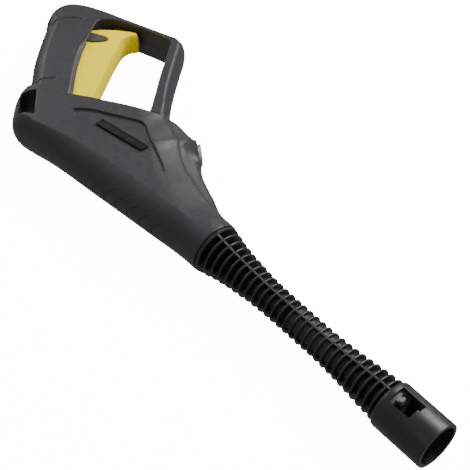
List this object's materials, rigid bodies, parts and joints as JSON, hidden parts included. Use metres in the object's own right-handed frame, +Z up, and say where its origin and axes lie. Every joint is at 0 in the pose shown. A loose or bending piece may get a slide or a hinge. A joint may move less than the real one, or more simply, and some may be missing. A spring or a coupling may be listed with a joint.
{
  "type": "pressure washer trigger gun",
  "caption": "Pressure washer trigger gun with D-handle, sprung trigger, cross-bolt lock, ball valve, ribbed barrel and bayonet lance socket.",
  "frame": {"origin": "bottom centre of the bounding box, the gun lying on its right side", "axes": "+X along the barrel towards the lance socket's mouth, +Y from the barrel axis towards the D-handle, +Z up, out of the gun's left side and normal to the housing's parting plane"},
  "size_m": [0.5084, 0.1632, 0.0412],
  "materials": {
    "housing_plastic": "fine moulded grain, satin",
    "barrel_plastic": "moulded, slightly glossier than the housing",
    "trigger_plastic": "smooth satin",
    "lock_plastic": "satin",
    "insert_plastic": "satin",
    "badge_plastic": "satin, blank",
    "brass": "machined",
    "steel": "ground",
    "spring_steel": "drawn wire",
    "screw_steel": "zinc plated, dulled",
    "rubber": "matte"
  },
  "bodies": {
    "housing": {"left_housing_shell": "housing_plastic", "right_housing_shell": "housing_plastic", "ribbed_barrel": "barrel_plastic", "trigger_pivot_pin": "steel", "trigger_return_spring": "spring_steel", "valve_body": "brass", "gland_nut": "brass", "push_pin_seal": "rubber", "valve_seat": "steel", "valve_spring": "spring_steel", "valve_plug": "brass", "valve_plug_ring": "rubber", "hose_inlet_socket": "brass", "hose_inlet_ring": "rubber", "pressure_pipe": "steel", "pipe_joint_ring": "rubber", "lance_seat": "brass", "lance_seat_ring": "rubber", "bayonet_insert": "insert_plastic", "badge_plate": "badge_plastic", "housing_screw_1": "screw_steel", "housing_screw_2": "screw_steel", "housing_screw_3": "screw_steel", "housing_screw_4": "screw_steel", "housing_screw_5": "screw_steel", "housing_screw_6": "screw_steel", "housing_screw_7": "screw_steel"},
    "trigger_lever": {"trigger": "trigger_plastic"},
    "lock_bolt": {"safety_lock": "lock_plastic"},
    "valve_pin": {"push_pin": "steel"},
    "valve_poppet": {"valve_ball": "steel"}
  },
  "joints": [
    {"name": "trigger_pull", "type": "hinge", "parent": "housing", "child": "trigger_lever", "pos_m": [-0.13185, -0.02465, 0.0206], "axis": [0, 0, 1], "range_deg": [0, 10.5], "stiffness_Nm_per_rad": 2, "springref_deg": -11.46},
    {"name": "lock_slide", "type": "slide", "parent": "trigger_lever", "child": "lock_bolt", "axis": [0, 0, 1], "range_m": [0, 0.0025]},
    {"name": "pin_slide", "type": "slide", "parent": "housing", "child": "valve_pin", "axis": [1, 0, 0], "range_m": [0, 0.0026]},
    {"name": "ball_lift", "type": "slide", "parent": "housing", "child": "valve_poppet", "axis": [1, 0, 0], "range_m": [0, 0.0026], "deforming": ["valve_spring"]}
  ],
  "couplings": [
    {"joint": "pin_slide", "follows": "trigger_pull", "m_per_rad": 0.014},
    {"joint": "ball_lift", "follows": "trigger_pull", "m_per_rad": 0.014}
  ]
}
